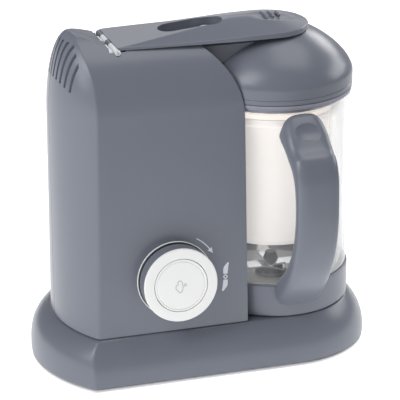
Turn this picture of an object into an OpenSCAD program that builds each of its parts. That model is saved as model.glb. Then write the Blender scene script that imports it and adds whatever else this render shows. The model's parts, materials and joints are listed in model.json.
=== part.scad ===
// Countertop steamer-blender for baby food.
// Frame: origin at the centre of the underside, +Z up, +X towards the jug, -Y towards the user.
// The jug, lid, blades and drive spindle share one vertical axis at x = jug_x.

/* [Jug] */
// Distance of the jug's axis from the middle of the base
jug_x = 59; // [57:0.5:60]
// Outer radius of the collar under the jug
collar_r = 60; // [59:0.25:60.5]
// Outer radius of the clear jar just above its collar
jar_r = 58.5; // [58:0.25:58.6]
// Thickness of the jar's wall
jar_wall = 2.6; // [2:0.1:3]
// Height of the jar's rim
jar_rim_z = 205; // [204.6:0.1:205.2]
// Top of the jug's collar
collar_top_z = 63.5; // [62:0.5:66]
// Width of the jug's handle
handle_w = 33; // [28:0.5:36]
// How far the handle is turned from straight ahead towards the jug's side
handle_turn = 2; // [0:1:10]
// Radius of the steaming basket
basket_r = 46.6; // [44:0.2:48]

/* [Tower] */
// Half the tower's depth where it meets the base
tower_low_w = 58.7; // [57:0.1:59]
// Half the tower's depth where its arched top starts
tower_high_w = 48.6; // [47:0.1:50]
// Height where the arched top starts
arch_z = 205; // [203:1:206]
// Height of the arched top's crest
crest_z = 265; // [264.5:0.25:266]
// Right edge of the front and rear panels
panel_x = 20.4; // [19:0.2:22]
// Radius of the panels' upper right corner
corner_r = 64; // [62:0.5:65]
// Height of the deck under the locking lever
deck_z = 253; // [252.5:0.1:253.2]
// Wall thickness of the moulded housings
wall = 2.5; // [2:0.1:2.6]

/* [Base] */
// Height of the base
base_h = 37.5; // [37:0.25:37.6]
// How far the base flares out from its top to its foot
base_flare = 12.3; // [10:0.1:13]
// Thickness of the pale bottom plate
plate_h = 3; // [2.5:0.25:3.2]

/* [Lid and lever] */
// Outer radius of the domed lid
dome_r = 61.1; // [60.5:0.1:61.2]
// Height of the dome's crest
dome_top_z = 253; // [252:0.25:253]
// Half width of the steam neck between the lid and the boiler
neck_w = 23.5; // [22:0.25:24]
// Half width of the lever at its free end
lever_w = 32; // [30:0.5:33]

/* [Knob] */
// Place of the knob along the front
knob_x = -37.2; // [-40:0.2:-34]
// Height of the knob's centre on the front
knob_z = 79.7; // [76:0.5:84]
// Radius of the turning ring
knob_r = 28.6; // [27.6:0.2:29]
// How far the knob stands out
knob_h = 17; // [14:0.5:18]

/* [Hidden] */
$fn = 96;

gap = 0.3;              // play between pieces that move past each other
run = 0.05;             // radial clearance of a shaft in its bearing
grey = [0.463, 0.478, 0.514];
dark = [0.16, 0.165, 0.18];
white = [0.94, 0.945, 0.95];
cream = [0.92, 0.90, 0.885];
pale = [0.82, 0.83, 0.84];
steel = [0.74, 0.75, 0.76];
clear = [0.86, 0.88, 0.90, 0.35];
rubber = [0.22, 0.22, 0.23];

// ---- shared shapes ----

// A closed solid through rings of equal length, each ring wound anticlockwise from above.
module loft(rings) {
    n = len(rings[0]);
    m = len(rings);
    points = [for (ring = rings) for (p = ring) p];
    low_mid = [for (k = [0:2]) mean([for (p = rings[0]) p[k]])];
    high_mid = [for (k = [0:2]) mean([for (p = rings[m - 1]) p[k]])];
    sides = [for (i = [0:m - 2]) for (j = [0:n - 1]) for (t = quad(i, j, n)) t];
    low_cap = [for (j = [0:n - 1]) [j, (j + 1) % n, n * m]];
    high_cap = [for (j = [0:n - 1]) [(m - 1) * n + (j + 1) % n, (m - 1) * n + j, n * m + 1]];
    polyhedron(concat(points, [low_mid, high_mid]), concat(sides, low_cap, high_cap));
}
function quad(i, j, n) = [
    [i * n + j, (i + 1) * n + j, (i + 1) * n + (j + 1) % n],
    [i * n + j, (i + 1) * n + (j + 1) % n, i * n + (j + 1) % n]
];
function mean(list) = sum(list) / len(list);
function sum(list, i = 0) = i >= len(list) ? 0 : list[i] + sum(list, i + 1);
function mix(a, b, t) = a + (b - a) * t;
function clamp(v, low, high) = max(low, min(high, v));

module ring(r_out, r_in, z0, z1) {
    rotate_extrude() translate([r_in, z0]) square([r_out - r_in, z1 - z0]);
}
module on_jug_axis() {
    translate([jug_x, 0, 0]) children();
}
module block(x, y, z) {
    translate([x[0], y[0], z[0]]) cube([x[1] - x[0], y[1] - y[0], z[1] - z[0]]);
}
module rod_y(x, z, r, y0, y1) {
    translate([x, y1, z]) rotate([90, 0, 0]) cylinder(r = r, h = y1 - y0);
}

// ---- outlines in plan ----

// From the front corner round to the middle of the left side: a fillet of radius f between the
// front line y = -w and an arc of radius r about (cx, 0).
function left_side(w, cx, r, f, nf, na) = let(
    fx = cx - sqrt(pow(r - f, 2) - pow(w - f, 2)),
    turn = atan2(w - f, cx - fx)
) concat(
    [for (i = [0:nf]) let(a = mix(-90, -180 + turn, i / nf)) [fx + f * cos(a), -(w - f) + f * sin(a)]],
    [for (i = [1:na]) let(a = -180 + turn * (1 - i / na)) [cx + r * cos(a), r * sin(a)]]
);
function back_side(side) = [for (i = [len(side) - 2:-1:0]) [side[i][0], -side[i][1]]];

// ---- base ----

base_corner_r = 7;
base_left_r = 112;
base_left_x = -123.1;
base_rim = 0.6;         // ledge round the top of the flare
base_foot_r = 3;        // rounding along the foot
base_end_extra = 0.9;   // the round end is this much longer than it is wide
function foot_tuck(h) = base_foot_r * (1 - sqrt(1 - pow(clamp(1 - h / base_foot_r, 0, 1), 2)));
function base_spread(z) =
    base_rim - foot_tuck(z - plate_h)
    + base_flare * (1 - pow(clamp((z - plate_h) / (base_h - plate_h), 0, 1), 2.5));
function base_outline(z, inset) = let(
    s = base_spread(z),
    w = tower_low_w + s - inset,
    r = base_left_r - 1.6 * s,
    side = left_side(w, base_left_x - 0.8 * s + r, r - inset, base_corner_r - inset, 5, 10),
    end_x = w + base_end_extra + 0.11 * s,
    end = [for (i = [0:32]) let(a = 90 - i * 180 / 32) [jug_x + end_x * cos(a), w * sin(a)]]
) [for (p = concat(side, back_side(side), end)) [p[0], -p[1], z]];
base_levels = concat(
    [for (h = [0.2, 0.8, 1.7]) plate_h + h],
    [for (i = [0:10]) mix(plate_h + base_foot_r, base_h, i / 10)]
);

module base_solid(inset, z0, z1) {
    levels = concat([z0], [for (z = base_levels) if (z > z0 + 0.1 && z < z1 - 0.5) z], [z1]);
    loft([for (z = levels) base_outline(z, inset)]);
}

// Bearing height, motor and belt
motor_x = -50;
motor_r = 29;
motor_z = [32, 98];
shaft_r = 3;
spindle_r = 4;
pulley_z = [13, 21];
pulley_small_r = 10;
pulley_large_r = 20;
screw_places = [[-84, -50], [-84, 50], [52, -60], [52, 60]];
pad_places = [[-92, -38], [-92, 38], [84, -46], [84, 46]];
seat_z = 26;
seat_hole_r = 54.3;

module base_plate() {
    color(pale) difference() {
        linear_extrude(plate_h - 0.1) polygon([for (p = base_outline(0, 0.4)) [p[0], p[1]]]);
        for (p = pad_places) translate([p[0], p[1], -1]) cylinder(r = 8.1, h = 3);
        for (p = screw_places) translate([p[0], p[1], -1]) cylinder(r = 1.8, h = 6);
        for (p = screw_places) translate([p[0], p[1], -1]) cylinder(r = 3.6, h = 2.4);
    }
}
module base_feet() {
    color(rubber) for (p = pad_places) translate([p[0], p[1], 0]) cylinder(r = 8, h = 1.9);
}
module base_screws() {
    color(steel) for (p = screw_places) translate([p[0], p[1], 0.5]) {
        cylinder(r = 3.2, h = 0.8);
        cylinder(r = 1.5, h = 9);
    }
}
module base_housing() {
    color(grey) difference() {
        union() {
            difference() {
                base_solid(0, plate_h, base_h);
                base_solid(wall, plate_h - 1, base_h - wall);
            }
            for (p = screw_places) translate([p[0], p[1], plate_h]) cylinder(r = 4, h = 12);
        }
        for (p = screw_places) translate([p[0], p[1], 0]) cylinder(r = 1.55, h = 14);
        on_jug_axis() translate([0, 0, base_h - 6]) cylinder(r = seat_hole_r, h = 12);
        block([-86, -14], [-34, 34], [base_h - 5, base_h + 5]);
        translate([-60, 50, 16]) rotate([-90, 0, 0]) cylinder(r = 5.1, h = 30);
    }
}
// Plate under the jug: carries the spindle's bearing and the locking ring.
module bowl_seat() {
    color(dark) on_jug_axis() difference() {
        union() {
            ring(57, spindle_r + run, seat_z, seat_z + 3);
            ring(57, 55, seat_z + 2, base_h - wall - 0.02);
            ring(9, spindle_r + run, seat_z - 4, seat_z + 7.5);
        }
        for (a = [45:90:315]) rotate(a) translate([30, 0, seat_z - 1]) cylinder(r = 3, h = 6);
    }
}
module cord_gland() {
    color(dark) translate([-60, 61.5, 16]) rotate([-90, 0, 0]) difference() {
        union() {
            cylinder(r = 5, h = 12);
            translate([0, 0, 10]) cylinder(r = 6.5, h = 2);
        }
        translate([0, 0, -1]) cylinder(r = 3.2, h = 20);
    }
}

// ---- tower ----

arch_h = crest_z - arch_z;
shoulder_z = 200;
shoulder_x = -101;      // where the left side's curve reaches the crest
shoulder_r = 17;
left_low_x = -117.1;
left_high_x = -118;
hinge_x = -71.5;
hinge_z = 252.2;
knuckle_r = 2.3;
pin_r = 1.1;
housing_knuckles = [[-28, -9], [0.5, 13.5]];
lever_knuckles = [[-8.5, 0], [14, 26]];
slope_x = -73;          // the hump behind the lever slopes down to here
slope_angle = atan((crest_z - deck_z) / (slope_x - shoulder_x));
bay_r = 61.7;
corner_x = panel_x - corner_r;
corner_z = 199;
seam = 0.15;            // half the gap between the front and rear shells

function tower_w(z, o) = z < arch_z
    ? mix(tower_low_w, tower_high_w, (z - base_h) / (arch_z - base_h)) - o
    : (tower_high_w - o) * arch_shape(clamp((z - arch_z) / (arch_h - o), 0, 1));
// An ellipse that grows a little more pointed towards its crest.
function arch_shape(u) = pow(1 - u * u, 0.5 + 0.12 * clamp((u - 0.4) / 0.4, 0, 1));
function tower_left(z, o) = z < shoulder_z
    ? mix(left_low_x, left_high_x, (z - base_h) / (shoulder_z - base_h)) + o
    : shoulder_x - (shoulder_r - o) * sqrt(max(0, 1 - pow((z - shoulder_z) / (crest_z - shoulder_z - o), 2)));
function tower_bulge(z) = 0.33 + 0.17 * clamp((z - base_h) / (arch_z - base_h), 0, 1);
function tower_right(z, o) = z < corner_z
    ? panel_x - o
    : corner_x + sqrt(max(0, pow(corner_r - o, 2) - pow(z - corner_z, 2)));
// Front half of the outline at one height, wound anticlockwise and closed just short of y = 0.
function half_outline(z, o) = let(
    w = tower_w(z, o),
    s = w * tower_bulge(z),
    r = (w * w + s * s) / (2 * s),
    left = tower_left(z, o),
    side = left_side(w, left + r, r, clamp(w / 14, 0.4, 4), 4, 10),
    right = max(tower_right(z, o), side[0][0] + 1),
    y = o > 0 ? 2 : -seam,
    front = [for (i = [0:len(side) - 2]) side[i]],
    outline = concat([[right, y], [right, -w]], front, [[left, y]])
) [for (i = [len(outline) - 1:-1:0]) [outline[i][0], outline[i][1], z]];
function tower_levels(o) = concat(
    [base_h + 0.1 - o * 2],
    [for (z = [60:24:180]) z],
    [corner_z, arch_z],
    [for (i = [1:17]) arch_z + (arch_h - o) * sin(i * 5)]
);

// Everything above the deck, the slope of the hump, the jug's bay and the recess for the neck.
recess_x = -58;
recess_w = neck_w + 1;
recess_z = 232;
pocket_x = [-77.5, -65];
pocket_w = 26.5;
pocket_z = 247.6;
boiler_x = -32;
module tower_cuts(o) {
    block([slope_x, 80], [-80, 80], [deck_z - o, 300]);
    translate([slope_x, 0, deck_z - o]) rotate([0, slope_angle, 0])
        translate([-70, -80, 0]) cube([71, 160, 60]);
    on_jug_axis() translate([0, 0, 20]) cylinder(r = bay_r + o, h = 260);
    block([recess_x - o, 40], [-recess_w - o, recess_w + o], [recess_z - o, 300]);
    block([pocket_x[0] - o, pocket_x[1] + o], [-pocket_w - o, pocket_w + o], [pocket_z - o, 300]);
    rod_y(hinge_x, hinge_z, knuckle_r + gap + o, -60, 60);
    block([hinge_x - knuckle_r - gap - o, hinge_x + knuckle_r + gap + o], [-60, 60], [hinge_z, 300]);
}
module half_tower(o) {
    difference() {
        loft([for (z = tower_levels(o)) half_outline(z, o)]);
        tower_cuts(o);
    }
}
module half_shell() {
    difference() {
        half_tower(0);
        half_tower(wall);
        translate([boiler_x, 0, recess_z - 8]) cylinder(r = 18.5, h = 12);
        vents();
    }
}
// Steam vents on the left shoulder: upright slots, the middle one on the seam, lower towards the sides.
vent_pitch = 5.7;
vent_w = 2.2;
vent_low_z = 232;
vent_high_z = 259.5;
module vents() {
    for (i = [0:5]) let(drop = i * i) block(
        [left_high_x - 6, shoulder_x - 0.6],
        [-i * vent_pitch - vent_w / 2, -i * vent_pitch + vent_w / 2],
        [vent_low_z - drop / 4, vent_high_z - drop / 7]
    );
}
module on_front() {
    translate([knob_x, -tower_w(knob_z, 0), knob_z]) rotate([90 - lean, 0, 0]) children();
}
lean = atan((tower_low_w - tower_high_w) / (arch_z - base_h));

module front_shell() {
    color(grey) difference() {
        half_shell();
        on_front() translate([0, 0, -10]) cylinder(r = 9, h = 20);
    }
}
module rear_shell() {
    color(grey) mirror([0, 1, 0]) half_shell();
}
module hinge_knuckle() {
    color(pale) difference() {
        for (y = housing_knuckles) {
            rod_y(hinge_x, hinge_z, knuckle_r, y[0], y[1]);
            block([hinge_x - knuckle_r, hinge_x + 2], [max(y[0], -pocket_w), y[1]], [pocket_z + 0.02, hinge_z]);
            block(
                [pocket_x[0] + 0.02, hinge_x - 3.7],
                [max(y[0], 0.02 - pocket_w), y[1]],
                [pocket_z + 0.02, 253.6]
            );
            block(
                [pocket_x[0] + 0.02, hinge_x],
                [max(y[0], 0.02 - pocket_w), y[1]],
                [pocket_z + 0.02, 248.8]
            );
        }
        rod_y(hinge_x, hinge_z, pin_r, -60, 60);
    }
}
module lever_pin() {
    color(steel) rod_y(hinge_x, hinge_z, pin_r, -27.2, 26.2);
}

// ---- steam boiler and electrics ----

boiler_r = 24;
boiler_z = [140, 231.7];
module boiler_cup() {
    color(steel) translate([boiler_x, 0, 0]) rotate_extrude() polygon([
        [0, boiler_z[0]], [boiler_r, boiler_z[0]], [boiler_r, 221], [17, 228], [17, boiler_z[1]],
        [15.6, boiler_z[1]], [15.6, 227.3], [boiler_r - 1.4, 220.2], [boiler_r - 1.4, boiler_z[0] + 1.4],
        [0, boiler_z[0] + 1.4]
    ]);
}
module boiler_gasket() {
    color(rubber) translate([boiler_x, 0, 0]) ring(18.4, 17.05, 228.2, 233);
}
module heater_plate() {
    color(steel) translate([boiler_x, 0, 0]) {
        ring(25, 6, 134, 139.9);
        for (a = [0, 180]) rotate(a) translate([20, 0, 128]) cylinder(r = 2, h = 6.5);
    }
}
module thermostat() {
    color(dark) translate([boiler_x, 0, 130]) {
        cylinder(r = 5.5, h = 9.8);
        translate([-9, -4, -1.5]) cube([18, 8, 3]);
    }
}
module control_board() {
    color([0.16, 0.36, 0.24]) {
        block([-92, -20], [46, 47.6], [52, 118]);
        for (i = [0:3]) block([-88 + i * 17, -78 + i * 17], [38, 46.2], [60 + 8 * (i % 2), 74 + 8 * (i % 2)]);
    }
}
module rotary_switch() {
    color(dark) on_front() difference() {
        union() {
            translate([-13, -13, -16]) cube([26, 26, 12]);
            translate([0, 0, -6]) cylinder(r = 7, h = 5);
        }
        translate([0, 0, -20]) cylinder(r = 4 + run, h = 30);
    }
}
module lid_switch() {
    color(dark) {
        block([-76, -64], [-8, 8], [224, 238]);
        block([-71, -69], [-3, 3], [237.5, 243.5]);
    }
}
module motor_can() {
    color(steel) translate([motor_x, 0, 0]) difference() {
        translate([0, 0, motor_z[0]]) cylinder(r = motor_r, h = motor_z[1] - motor_z[0]);
        translate([0, 0, motor_z[0] + 3]) cylinder(r = motor_r - 4, h = motor_z[1] - motor_z[0] - 6);
        translate([0, 0, motor_z[0] - 1]) cylinder(r = shaft_r + run, h = 100);
        for (a = [0:60:300]) rotate(a) translate([motor_r - 12, 0, motor_z[1] - 5]) cylinder(r = 2.5, h = 10);
    }
}
module motor_bracket() {
    color(dark) translate([motor_x, 0, 0]) difference() {
        union() {
            block([-32, 32], [-30, 30], [28, 31.9]);
            for (x = [-28, 28]) for (y = [-26, 26]) translate([x, y, plate_h]) cylinder(r = 3.5, h = 26);
        }
        translate([0, 0, 20]) cylinder(r = 7, h = 20);
    }
}
// The belt stands clear of both pulleys by the play.
module drive_belt() {
    belt = 1.8;
    color(rubber) translate([0, 0, pulley_z[0] + 1]) linear_extrude(6) difference() {
        belt_outline(belt + gap);
        belt_outline(gap);
    }
}
module belt_outline(grow) {
    span = jug_x - motor_x;
    a = asin((pulley_large_r - pulley_small_r) / span);
    small = pulley_small_r + grow;
    large = pulley_large_r + grow;
    polygon(concat(
        [for (i = [0:24]) let(t = mix(90 + a, 270 - a, i / 24)) [motor_x + small * cos(t), small * sin(t)]],
        [for (i = [0:32]) let(t = mix(-90 - a, 90 + a, i / 32)) [jug_x + large * cos(t), large * sin(t)]]
    ));
}
module knob_bezel() {
    color(white) on_front() ring(bezel_r, 27, 0.05, 2.4);
}

// ---- lever ----

lever_left_x = -71;
lever_left_w = 26;
lever_tip_x = 53;       // centre of the round free end
lever_z = deck_z + 0.4;
lever_rim_z = [255.2, 257.2];
lever_crest_z = crest_z - 1.2;
lever_rise = 0.091;     // slope of the flat facet by the hinge
lever_tip_steps = 8;
function lever_half(x) = x < lever_tip_x
    ? mix(lever_left_w, lever_w, clamp((x - lever_left_x) / 95, 0, 1))
    : lever_w * sqrt(max(0, 1 - pow((x - lever_tip_x) / lever_w, 2)));
// A ridged roof with a round crest, cut by a flat facet that rises from the hinge.
function roof(t) = 1 - (sqrt(t * t + 0.0144) - 0.12) / 0.887;
function lever_top(x, y) = let(
    away = x < lever_tip_x ? abs(y) / lever_half(x) : norm([x - lever_tip_x, y]) / lever_w,
    along = clamp((x + 30) / 83, 0, 1),
    rim = mix(lever_rim_z[0], lever_rim_z[1], along * along * (3 - 2 * along))
) min(
    lever_rim_z[0] + (x - lever_left_x) * lever_rise,
    rim + (lever_crest_z - rim) * roof(clamp(away, 0, 1))
);
function lever_section(x, o) = let(h = max(lever_half(x) - o, 0.4)) concat(
    [[x, h, lever_z - 2 * o]],
    [for (i = [0:16]) let(y = h * cos(i * 180 / 16)) [x, y, max(lever_top(x, y) - o, lever_z + 0.5 - 2 * o)]],
    [[x, -h, lever_z - 2 * o]]
);
lever_stations = concat(
    [for (i = [0:22]) mix(lever_left_x, lever_tip_x, i / 22)],
    [for (i = [1:lever_tip_steps]) lever_tip_x + lever_w * sin(i * 88 / lever_tip_steps)]
);
module lever_solid(o) {
    loft([for (x = lever_stations) lever_section(clamp(x, lever_left_x + o, lever_tip_x + lever_w - o), o)]);
}
slot_x = [-22.7, 7.5];
slot_w = 10;
ridge_x = 51;
ridge_pitch = 5.5;
ridge_w = 9;
ridge_r = 1.3;
lever_skin = 2;
module slot(x, w, z) {
    for (e = x) translate([e, 0, z[0]]) cylinder(r = w, h = z[1] - z[0]);
    block(x, [-w, w], z);
}
module lever_arm() {
    color(grey) difference() {
        union() {
            difference() {
                lever_solid(0);
                difference() {
                    lever_solid(lever_skin);
                    slot(slot_x, slot_w + lever_skin, [240, 280]);
                    block([lever_left_x - 1, -58], [-30, 30], [240, 280]);
                }
            }
            for (y = lever_knuckles) {
                rod_y(hinge_x, hinge_z, knuckle_r, y[0], y[1]);
                block([hinge_x, hinge_x + knuckle_r], y, [hinge_z, lever_z + 1]);
            }
        }
        slot(slot_x, slot_w, [240, 280]);
        rod_y(hinge_x, hinge_z, pin_r + run, -40, 40);
        for (y = housing_knuckles) rod_y(hinge_x, hinge_z, knuckle_r + gap, y[0] - gap, y[1] + gap);
        ridges();
    }
}
module ridges() {
    for (i = [0:2]) let(half = ridge_w - i * 2)
        rod_y(ridge_x + i * ridge_pitch, lever_crest_z - 0.4 - i * 0.25, ridge_r, -half, half);
}
module lever_grip() {
    color(grey) ridges();
}
// Pressure relief valve under the lever's slot, on the lid's neck.
valve_x = 5;
module steam_valve() {
    color(pale) translate([valve_x, 0, neck_z[1]]) {
        cylinder(r = 6, h = 6);
        translate([0, 0, 6]) cylinder(r1 = 6, r2 = 4.5, h = 1.5);
        translate([-10.5, -2, 0]) cube([5, 4, 5.5]);
    }
}

// ---- lid ----

dome_z = 206.6;
dome_spring_z = 220;
dome_rise = 39.7;       // height the curve would reach on the axis, above the flat crest
dome_power = 1.57;
neck_z = [235, 250];
function dome_radius(u) = pow(1 - pow(u, dome_power), 1 / dome_power);
function dome_profile(o) = let(top = (dome_top_z - o - dome_spring_z) / (dome_rise - o)) [
    for (i = [0:18]) let(u = top * i / 18) [(dome_r - o) * dome_radius(u), dome_spring_z + (dome_rise - o) * u]
];
module dome_solid(o) {
    rotate_extrude() polygon(concat(
        [[0, dome_z - o], [dome_r - o, dome_z - o]],
        dome_profile(o),
        [[0, dome_top_z - o]]
    ));
}
module neck_solid(o) {
    block([recess_x + 1.2 + o, jug_x - 10], [-neck_w + o, neck_w - o], [neck_z[0] + o, neck_z[1] - o]);
}
module lid_dome() {
    color(grey) difference() {
        union() {
            on_jug_axis() dome_solid(0);
            neck_solid(0);
        }
        on_jug_axis() dome_solid(wall);
        neck_solid(wall);
        translate([boiler_x, 0, neck_z[0] - 1]) cylinder(r = 15, h = 6);
    }
}
module lid_seal() {
    color(pale) on_jug_axis() {
        ring(60.1, 52, jar_rim_z + gap, dome_z);
        ring(54.2, 52, 201, dome_z);
    }
}
module neck_seal() {
    color(rubber) translate([boiler_x, 0, 0]) ring(22, 19, recess_z + gap, neck_z[0]);
}

// ---- jug ----

lock_z = [seat_z + 3 + gap, base_h - 0.3];
peg_r = 47;
module lock_ring() {
    color(dark) on_jug_axis() {
        ring(seat_hole_r - gap, 40, lock_z[0], lock_z[1]);
        for (a = [90, 210, 330]) rotate(a) block([peg_r - 3, peg_r + 3], [-4, 4], [lock_z[1] - 1, 41]);
    }
}
jar_floor_z = 47;
module jar() {
    color(clear) on_jug_axis() rotate_extrude() polygon([
        [9.1, jar_floor_z], [55, jar_floor_z], [56.2, jar_floor_z + 2], [56.2, collar_top_z + 0.3],
        [jar_r, collar_top_z + 0.8], [jar_r - 1, 200], [60.2, 202], [60.2, jar_rim_z],
        [55, jar_rim_z], [54.9, 200], [jar_r - jar_wall, 70], [52, 54], [47, jar_floor_z + 3],
        [9.1, jar_floor_z + 3]
    ]);
}
module jar_collar() {
    color(grey) on_jug_axis() difference() {
        union() {
            ring(collar_r, 56.25, base_h + 0.5, collar_top_z);
            ring(57, 42, base_h + 0.5, base_h + 4);
            ring(56.5, 50, base_h + 3, jar_floor_z - 0.05);
        }
        for (a = [90, 210, 330]) rotate(a) block([peg_r - 4, peg_r + 4], [-5, 5], [base_h - 1, 43]);
    }
}
// The handle's outer and finger-side faces, as [distance from the jug's axis, height].
handle_outer = [[60.3, 202], [65, 199.2], [74, 191], [83.3, 182.3], [91.5, 177.5], [96.8, 170], [99.3, 161],
    [100, 150], [100.3, 138], [99.8, 125], [97, 107], [90, 87.5], [80, 71], [70, 58], [60.6, 48]];
handle_inner = [[60.3, 181], [63.5, 177.8], [70, 173.5], [76, 168], [80.5, 162.5], [83.5, 156], [85.5, 149],
    [86.5, 142], [87, 135], [86.8, 125], [84, 107.5], [76.5, 91.5], [68.5, 81.5], [63.5, 76], [60.3, 71]];
// Its widths at the outer face and at the finger side, for a grip 33 wide.
handle_face = [16, 19, 26, 32, 33, 33, 33, 33, 33, 33, 33, 33.5, 34.5, 35.5, 36];
handle_back = [41, 39, 36.5, 35, 34, 33, 32.5, 32, 32, 32, 32.5, 34, 36.5, 39, 40];
function spline(list, t) = let(
    n = len(list) - 1,
    i = min(floor(t), n - 1),
    u = t - i,
    a = list[max(i - 1, 0)],
    b = list[i],
    c = list[i + 1],
    d = list[min(i + 2, n)]
) 0.5 * (2 * b + (c - a) * u + (2 * a - 5 * b + 4 * c - d) * u * u + (3 * b - a - 3 * c + d) * u * u * u);
function rounded(out, in, face, back) = let(mid = (out + in) / 2, half = (out - in) / 2, n = 20) [
    for (i = [0:n - 1]) let(
        a = 360 * i / n,
        c = sign(cos(a)) * pow(abs(cos(a)), 0.6),
        s = sign(sin(a)) * pow(abs(sin(a)), 0.6),
        p = mid + half * c
    ) [p[0], -s * mix(back, face, (c + 1) / 2) / 2, p[1]]
];
module handle_solid() {
    k = handle_w / 33;
    loft([for (i = [42:-1:0]) let(t = i / 3)
        rounded(
            spline(handle_outer, t),
            spline(handle_inner, t),
            k * spline(handle_face, t),
            k * spline(handle_back, t)
        )]);
}
module at_handle() {
    on_jug_axis() rotate(-90 + handle_turn) children();
}
module handle() {
    color(grey) difference() {
        at_handle() handle_solid();
        on_jug_axis() translate([0, 0, 30]) cylinder(r = collar_r + 0.1, h = 36);
        on_jug_axis() translate([0, 0, 60]) cylinder(r = handle_inner[0][0] + 0.1, h = 160);
        at_insert() cylinder(r = insert_r + 0.1, h = 5, center = true);
    }
}
// A round plug closes the screw hole on the handle's finger side.
insert_r = 3.9;
module at_insert() {
    at_handle() translate([86.8, 0, 139]) rotate([0, 93, 0]) children();
}
module handle_insert() {
    color(dark) at_insert() translate([0, 0, 0.2]) cylinder(r = insert_r, h = 2);
}
module blade_nut() {
    color(dark) on_jug_axis() difference() {
        ring(17, 9.1, jar_floor_z - 3.2, jar_floor_z - 0.05);
        for (a = [0:45:315]) rotate(a) translate([17.6, 0, 40]) cylinder(r = 1.8, h = 10);
    }
}
module blade_bearing() {
    color(dark) on_jug_axis() {
        ring(9, shaft_r + run, 44.6, 55.5);
        ring(12, 8.5, jar_floor_z + 3.05, 53);
    }
}
basket_z = [91, 195];
module steam_basket() {
    color(cream) on_jug_axis() difference() {
        union() {
            rotate_extrude() polygon([
                [0, basket_z[0] + 4], [34, basket_z[0]],
                [basket_r - 2, basket_z[0]], [basket_r, basket_z[0] + 4],
                [basket_r, basket_z[1] - 8], [52.5, basket_z[1] - 5],
                [52.5, basket_z[1]], [50.8, basket_z[1]],
                [50.6, basket_z[1] - 4], [basket_r - 1.8, basket_z[1] - 7],
                [basket_r - 1.8, basket_z[0] + 5], [basket_r - 5, basket_z[0] + 2],
                [34, basket_z[0] + 2], [0, basket_z[0] + 6]
            ]);
            for (a = [42:90:312]) rotate(a)
                block([basket_r - 0.6, basket_r + 1.4], [-1.2, 1.2], [100, 186]);
        }
        for (k = [1:3]) for (i = [0:6 * k - 1]) rotate(i * 60 / k) translate([k * 10, 0, 80])
            cylinder(r = 1.7, h = 30);
        for (i = [0:23]) rotate(i * 15 + 7)
            translate([basket_r - 4, 0, basket_z[0] + 12]) rotate([0, 90, 0]) cylinder(r = 2, h = 8);
    }
}

// ---- blades and drive ----

dog_r = 8.5;
module blade_shaft() {
    color(steel) on_jug_axis() translate([0, 0, 43]) cylinder(r = shaft_r, h = 24);
}
module blade_dog() {
    color(dark) on_jug_axis() {
        ring(dog_r, shaft_r, 42.6, 44.3);
        for (a = [90, 270]) rotate(a) block([4.5, 8], [-2, 2], [38.6, 43]);
    }
}
// One pair of swept blades: a flat bar whose outer parts bend up by an angle.
module blade_pair(length, bend) {
    difference() {
        union() {
            linear_extrude(1.2) for (a = [0, 180]) rotate(a)
                polygon([[0, -6], [length * 0.6, -6.5], [length, 2], [length * 0.55, 6], [0, 6]]);
            for (a = [0, 180]) rotate(a) translate([length * 0.55, -4, 0]) rotate([0, -bend, 0])
                cube([length * 0.4, 8, 1.2]);
        }
        translate([0, 0, -20]) cylinder(r = shaft_r, h = 60);
    }
}
module blade_lower() {
    color(steel) on_jug_axis() {
        translate([0, 0, 57.6]) blade_pair(34, 8);
        ring(6.5, shaft_r, 56, 57.6);
    }
}
module blade_upper() {
    color(steel) on_jug_axis() {
        translate([0, 0, 61.6]) rotate(90) blade_pair(27, 28);
        ring(5.5, shaft_r, 58.85, 61.6);
    }
}
module blade_cap() {
    color(dark) on_jug_axis() difference() {
        translate([0, 0, 62.85]) cylinder(r1 = 6, r2 = 4, h = 5.5);
        translate([0, 0, 60]) cylinder(r = shaft_r, h = 7);
    }
}
module motor_rotor() {
    color(steel) translate([motor_x, 0, 0]) {
        translate([0, 0, 11]) cylinder(r = shaft_r, h = 90);
        ring(21, shaft_r - 0.5, 42, 88);
    }
}
module pulley(x, r, bore) {
    translate([x, 0, 0]) rotate_extrude() polygon([
        [bore, pulley_z[0]], [r + 2.5, pulley_z[0]], [r + 2.5, pulley_z[0] + 0.6], [r, pulley_z[0] + 0.9],
        [r, pulley_z[1] - 0.9], [r + 2.5, pulley_z[1] - 0.6], [r + 2.5, pulley_z[1]], [bore, pulley_z[1]]
    ]);
}
module motor_pulley() {
    color(pale) pulley(motor_x, pulley_small_r, shaft_r);
}
module drive_shaft() {
    color(steel) on_jug_axis() translate([0, 0, 11]) cylinder(r = spindle_r, h = 25);
}
module drive_pulley() {
    color(pale) pulley(jug_x, pulley_large_r, spindle_r);
}
module drive_dog() {
    color(dark) on_jug_axis() {
        ring(dog_r, spindle_r, 34, 36);
        translate([0, 0, 36]) cylinder(r = dog_r, h = 2);
        for (a = [0, 180]) rotate(a) block([4.5, 8], [-2, 2], [37.5, 42]);
    }
}

// ---- knob ----

button_r = 20.5;
bezel_r = 29.6;
face_h = 2.4;           // thickness of the pale face ring
module knob_drum() {
    color(grey) on_front() rotate_extrude() polygon([
        [4, 3], [knob_r - 0.3, 3], [knob_r - 0.3, knob_h - face_h], [button_r + gap, knob_h - face_h],
        [button_r + gap, 6], [4, 6]
    ]);
}
module knob_ring() {
    color(white) on_front() rotate_extrude() polygon([
        [button_r + gap, knob_h - face_h], [knob_r, knob_h - face_h], [knob_r, knob_h - 0.8],
        [knob_r - 0.8, knob_h], [button_r + gap, knob_h]
    ]);
}
module knob_shaft() {
    color(dark) on_front() translate([0, 0, -15]) cylinder(r = 4, h = 21);
}
module knob_button() {
    color(white) on_front() rotate_extrude() polygon([
        [0, 9], [button_r, 9], [button_r, knob_h - 0.8], [button_r - 0.8, knob_h], [0, knob_h + 0.4]
    ]);
}

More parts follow.
